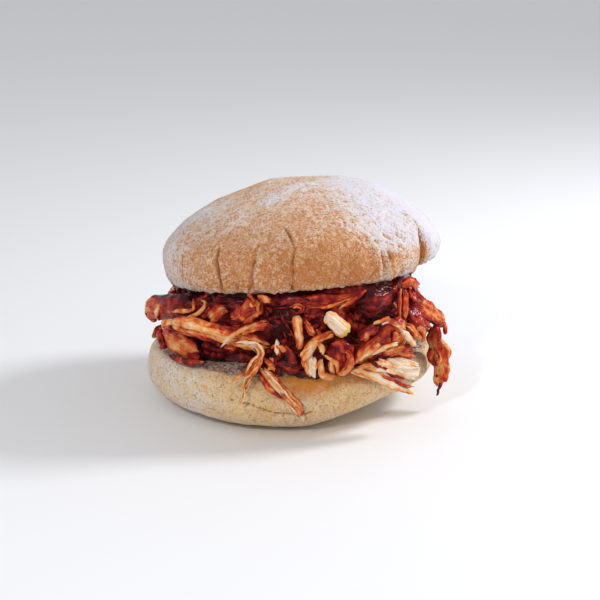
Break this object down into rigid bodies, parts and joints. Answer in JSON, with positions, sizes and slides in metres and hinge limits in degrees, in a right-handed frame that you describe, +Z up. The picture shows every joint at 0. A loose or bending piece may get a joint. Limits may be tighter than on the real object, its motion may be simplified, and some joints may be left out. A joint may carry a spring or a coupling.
{
  "type": "pulled chicken bun",
  "caption": "Soft floury wholemeal bun, cut across and filled with a heap of shredded chicken in dark red barbecue sauce, some shreds hanging over the rim.",
  "frame": {"origin": "centre of the flat spot that the heel stands on", "axes": "+Z up through the bun; the open front that the picture shows faces -Y, and +X is to its right"},
  "size_m": [0.1128, 0.1107, 0.0822],
  "materials": {
    "crown_crust": "matt floury brown crust",
    "heel_crust": "matt pale floury crust",
    "chicken": "moist, lightly sauced meat",
    "sauced_chicken": "wet, thick dark red sauce"
  },
  "bodies": {
    "root": {"bun_heel": "heel_crust", "bun_crown": "crown_crust", "chicken_heap": "sauced_chicken", "chicken_roll_left": "sauced_chicken", "chicken_slab_left": "sauced_chicken", "chicken_lump_front": "sauced_chicken", "chicken_flap_right": "sauced_chicken", "chicken_chunk_top_right": "sauced_chicken", "chicken_strip_right": "sauced_chicken", "chicken_drip_right": "sauced_chicken", "chicken_sheet_top": "sauced_chicken", "chicken_cluster_left": "sauced_chicken", "chicken_plank": "chicken", "chicken_folded_strand": "chicken", "chicken_drape": "chicken", "chicken_stick": "chicken", "chicken_zigzag": "chicken", "chicken_pale_chunk": "chicken", "chicken_fan": "chicken", "chicken_slab_right": "chicken"}
  },
  "joints": []
}
